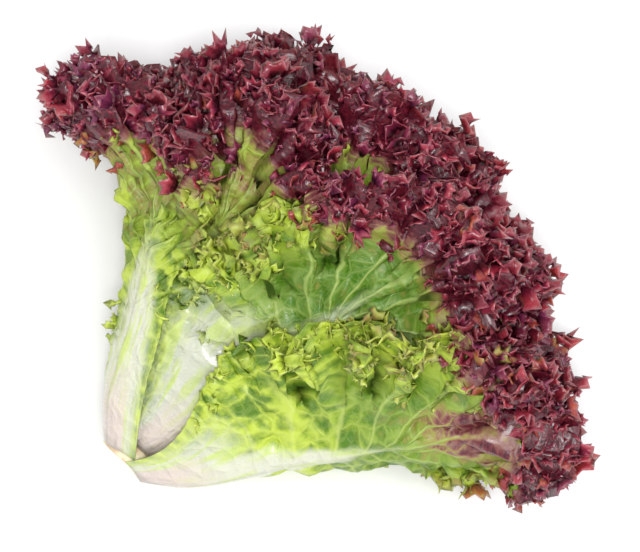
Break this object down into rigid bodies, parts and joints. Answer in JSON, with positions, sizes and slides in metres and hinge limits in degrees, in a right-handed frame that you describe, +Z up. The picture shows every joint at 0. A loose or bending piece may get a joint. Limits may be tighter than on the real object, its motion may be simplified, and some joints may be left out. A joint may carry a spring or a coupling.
{
  "type": "lollo rosso lettuce",
  "caption": "Loose-leaf lettuce head cut at its stem and laid on its side: pale green, white-ribbed leaves with dense dark red frills.",
  "frame": {"origin": "centre of the head's bounding box, on the surface it lies on", "axes": "+Z up from the surface, +Y from the cut stem along the head towards its frills, +X across the fan of leaves"},
  "size_m": [0.2772, 0.2032, 0.1226],
  "materials": {
    "stem": "moist cream-white cut stem",
    "leaf": "semi-gloss leaf tissue, white-green at the foot and dark red at the frill",
    "heart_leaf": "semi-gloss tender leaf tissue, yellow-green with a red frill"
  },
  "bodies": {
    "root": {"stem": "stem", "leaf_01": "leaf", "leaf_02": "leaf", "leaf_03": "leaf", "leaf_04": "leaf", "leaf_05": "leaf", "leaf_06": "leaf", "leaf_07": "leaf", "leaf_08": "leaf", "leaf_09": "leaf", "leaf_10": "leaf", "leaf_11": "leaf", "leaf_12": "leaf", "leaf_13": "leaf", "leaf_14": "leaf", "leaf_15": "heart_leaf", "leaf_16": "heart_leaf", "leaf_17": "heart_leaf", "leaf_18": "heart_leaf", "leaf_19": "heart_leaf", "leaf_20": "heart_leaf"}
  },
  "joints": []
}
